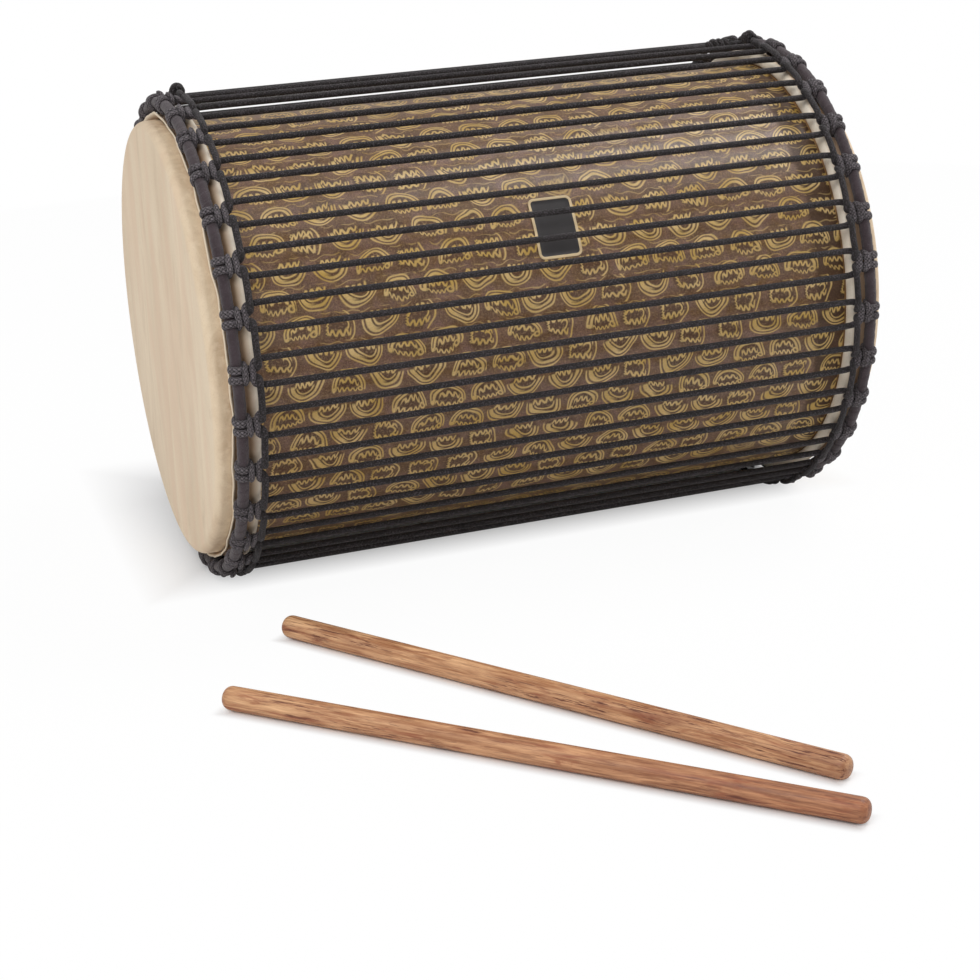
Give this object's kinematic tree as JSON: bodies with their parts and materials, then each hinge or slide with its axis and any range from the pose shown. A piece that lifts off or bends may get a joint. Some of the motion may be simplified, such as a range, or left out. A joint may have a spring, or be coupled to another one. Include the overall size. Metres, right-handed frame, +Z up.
{
  "type": "dunun drum",
  "caption": "Rope-tuned cylindrical drum with a skin head at each end, lying on its side, with its pair of plain wooden sticks on the floor.",
  "frame": {"origin": "on the floor under the middle of the whole set's box, drum and sticks together", "axes": "+X along the drum's axis from the left head to the right head, +Y from the sticks towards the drum, +Z up"},
  "size_m": [0.5914, 0.8102, 0.4054],
  "materials": {
    "shell_wood": "clear matt inside",
    "printed_cover": "printed brown cloth laminate under a satin lacquer",
    "plate": "dark blank plate with a cream border",
    "skin": "natural cream drum skin",
    "hoop_steel": "plain drawn rod",
    "binding_cloth": "dark cotton strip wound tight",
    "rope": "charcoal braided cord",
    "stick_wood": "oiled reddish hardwood"
  },
  "bodies": {
    "drum": {"shell": "shell_wood", "shell_cover": "printed_cover", "blank_plate": "plate", "left_skin": "skin", "left_flesh_hoop": "hoop_steel", "left_crown_hoop": "hoop_steel", "left_crown_binding": "binding_cloth", "left_cradle_rope": "rope", "left_cradle_tie": "rope", "right_skin": "skin", "right_flesh_hoop": "hoop_steel", "right_crown_hoop": "hoop_steel", "right_crown_binding": "binding_cloth", "right_cradle_rope": "rope", "right_cradle_tie": "rope", "tension_rope": "rope", "tension_tie": "rope"},
    "stick_1": {"stick_1": "stick_wood"},
    "stick_2": {"stick_2": "stick_wood"}
  },
  "joints": [
    {"name": "stick_1_lift", "type": "slide", "parent": "drum", "child": "stick_1", "axis": [0, -0.7071, 0.7071], "range_m": [0, 0.25]},
    {"name": "stick_2_lift", "type": "slide", "parent": "drum", "child": "stick_2", "axis": [0, -0.7071, 0.7071], "range_m": [0, 0.25]}
  ]
}
